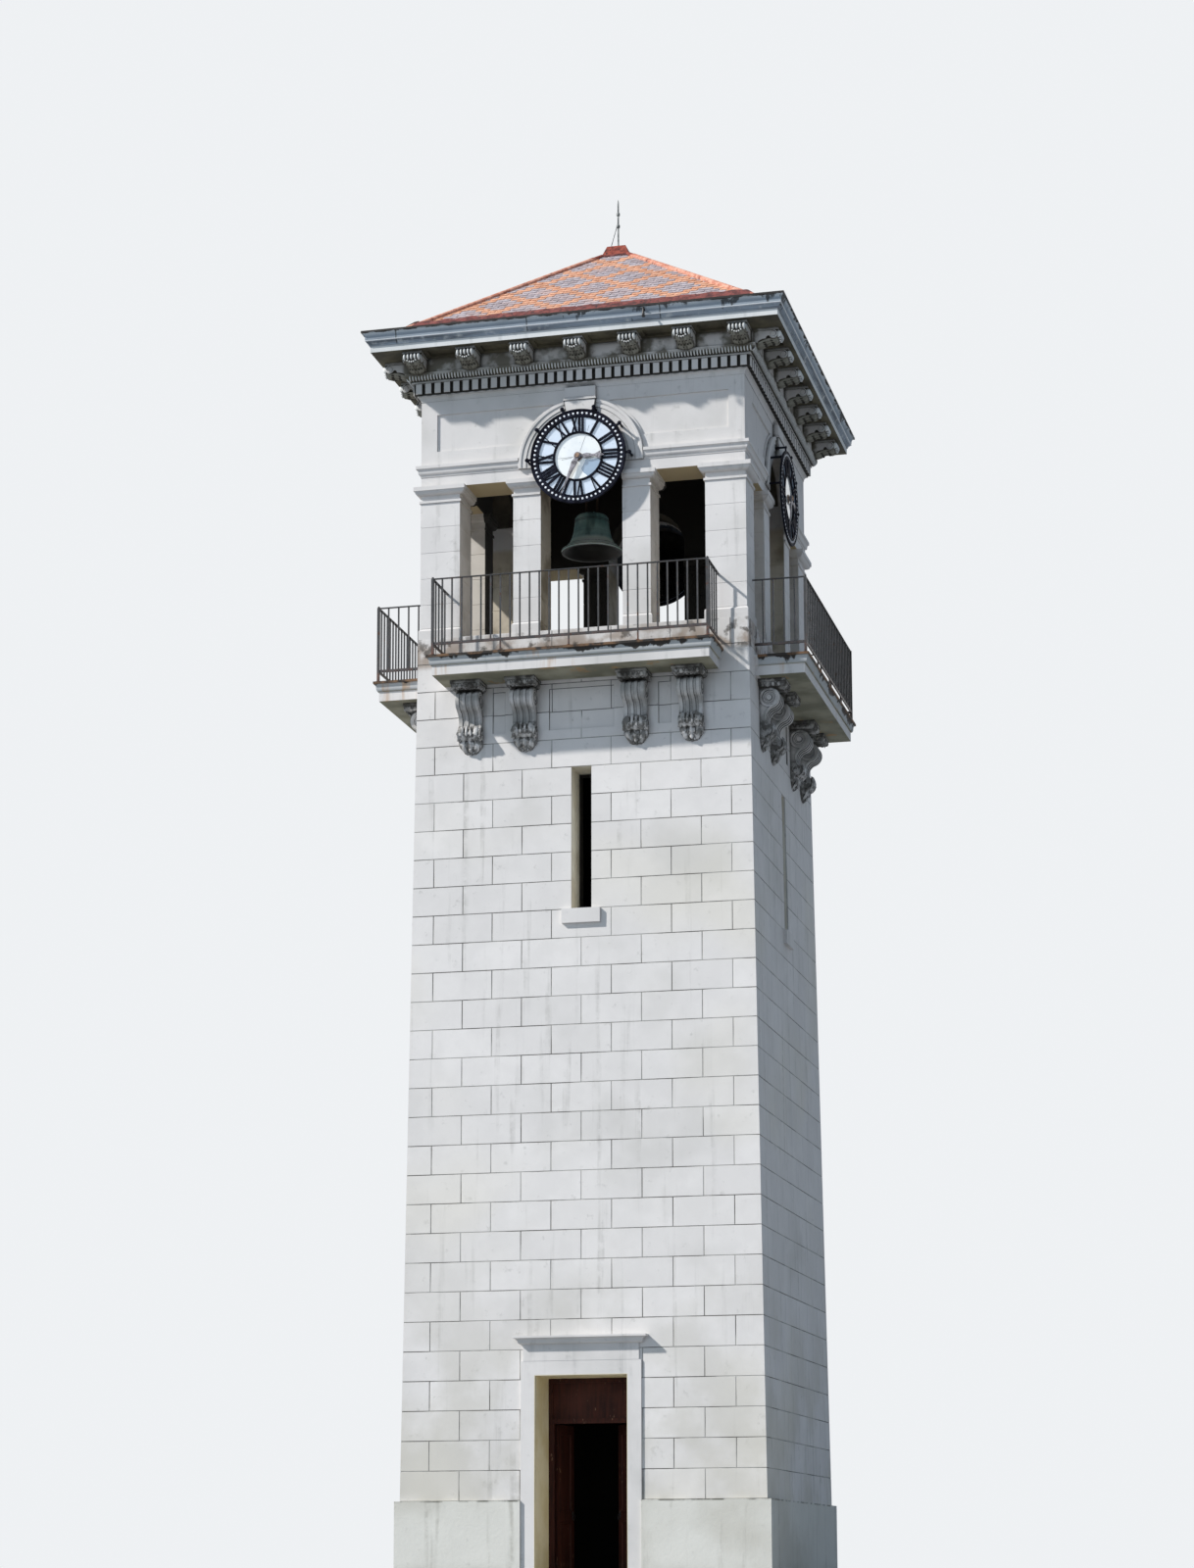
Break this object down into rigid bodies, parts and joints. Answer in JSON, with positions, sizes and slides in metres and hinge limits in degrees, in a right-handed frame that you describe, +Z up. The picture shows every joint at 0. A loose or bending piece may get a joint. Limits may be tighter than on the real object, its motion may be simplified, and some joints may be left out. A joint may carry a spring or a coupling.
{
  "type": "clock tower",
  "caption": "Square battered masonry clock tower with a doorway, slit windows, balconies on scroll consoles, an open arched belfry with a bell, a dial on every face and a tiled roof.",
  "frame": {"origin": "centre of the tower's footprint at ground level", "axes": "+Z up, the door faces -Y, +X to the right as one looks at the door"},
  "size_m": [6.25, 6.25, 20.55],
  "materials": {
    "ashlar": "matte paint on stone",
    "plinth": "stained stone",
    "trim": "matte paint on stone",
    "carving": "matte paint on carved stone",
    "cornice": "matte paint on sheet",
    "paving": "worn stone",
    "timber": "red-brown paint",
    "beam": "weathered",
    "iron": "black paint",
    "rod": "weathered",
    "tile": "fired clay",
    "edging": "fired clay",
    "bell": "green patina",
    "dial_iron": "black paint",
    "dial_glass": "milk glass",
    "arbor": "dull",
    "hands": "black paint"
  },
  "bodies": {
    "tower": {"plinth_front": "plinth", "plinth_sides": "plinth", "plinth_back": "plinth", "ground_floor": "paving", "door_threshold": "paving", "wall_front_lower": "ashlar", "wall_front": "ashlar", "wall_left": "ashlar", "wall_right": "ashlar", "wall_back": "ashlar", "slit_sills": "trim", "door_surround": "trim", "door_hood": "trim", "door_frame": "timber", "door_hinges": "iron", "balcony_slabs": "trim", "consoles": "carving", "balcony_railings": "iron", "railing_returns": "iron", "belfry_base": "ashlar", "belfry_floor": "paving", "corner_piers": "ashlar", "inner_piers": "ashlar", "entablatures": "trim", "arch_walls_front_back": "ashlar", "arch_walls_sides": "ashlar", "archivolts": "carving", "keystones": "carving", "dentil_course": "carving", "modillion_course": "carving", "main_cornice": "cornice", "roof": "tile", "tile_edging": "edging", "roof_cap": "edging", "lightning_rod": "rod", "bell": "bell", "bell_beam": "beam", "dial_frames": "dial_iron", "dial_glasses": "dial_glass", "dial_arbors": "arbor"},
    "left_leaf": {"door_leaf_left": "timber"},
    "right_leaf": {"door_leaf_right": "timber"},
    "front_minute": {"minute_hand_front": "hands"},
    "right_minute": {"minute_hand_right": "hands"},
    "back_minute": {"minute_hand_back": "hands"},
    "left_minute": {"minute_hand_left": "hands"},
    "front_hour": {"hour_hand_front": "hands"},
    "right_hour": {"hour_hand_right": "hands"},
    "back_hour": {"hour_hand_back": "hands"},
    "left_hour": {"hour_hand_left": "hands"}
  },
  "joints": [
    {"name": "left_leaf_hinge", "type": "hinge", "parent": "tower", "child": "left_leaf", "pos_m": [-0.615, -1.68, 0], "axis": [0, 0, -1], "range_deg": [-10, 80]},
    {"name": "right_leaf_hinge", "type": "hinge", "parent": "tower", "child": "right_leaf", "pos_m": [0.615, -1.68, 0], "axis": [0, 0, 1], "range_deg": [-36, 54]},
    {"name": "front_minute_turn", "type": "hinge", "parent": "tower", "child": "front_minute", "pos_m": [0, -2.5, 15.7], "axis": [0, 1, 0], "continuous": true},
    {"name": "right_minute_turn", "type": "hinge", "parent": "tower", "child": "right_minute", "pos_m": [2.5, 0, 15.7], "axis": [-1, 0, 0], "continuous": true},
    {"name": "back_minute_turn", "type": "hinge", "parent": "tower", "child": "back_minute", "pos_m": [0, 2.5, 15.7], "axis": [0, -1, 0], "continuous": true},
    {"name": "left_minute_turn", "type": "hinge", "parent": "tower", "child": "left_minute", "pos_m": [-2.5, 0, 15.7], "axis": [1, 0, 0], "continuous": true},
    {"name": "front_hour_turn", "type": "hinge", "parent": "tower", "child": "front_hour", "pos_m": [0, -2.5, 15.7], "axis": [0, 1, 0], "continuous": true},
    {"name": "right_hour_turn", "type": "hinge", "parent": "tower", "child": "right_hour", "pos_m": [2.5, 0, 15.7], "axis": [-1, 0, 0], "continuous": true},
    {"name": "back_hour_turn", "type": "hinge", "parent": "tower", "child": "back_hour", "pos_m": [0, 2.5, 15.7], "axis": [0, -1, 0], "continuous": true},
    {"name": "left_hour_turn", "type": "hinge", "parent": "tower", "child": "left_hour", "pos_m": [-2.5, 0, 15.7], "axis": [1, 0, 0], "continuous": true}
  ],
  "couplings": [
    {"joint": "right_minute_turn", "follows": "front_minute_turn", "ratio": 1},
    {"joint": "back_minute_turn", "follows": "front_minute_turn", "ratio": 1},
    {"joint": "left_minute_turn", "follows": "front_minute_turn", "ratio": 1},
    {"joint": "front_hour_turn", "follows": "front_minute_turn", "ratio": 0.083333},
    {"joint": "right_hour_turn", "follows": "front_minute_turn", "ratio": 0.083333},
    {"joint": "back_hour_turn", "follows": "front_minute_turn", "ratio": 0.083333},
    {"joint": "left_hour_turn", "follows": "front_minute_turn", "ratio": 0.083333}
  ]
}
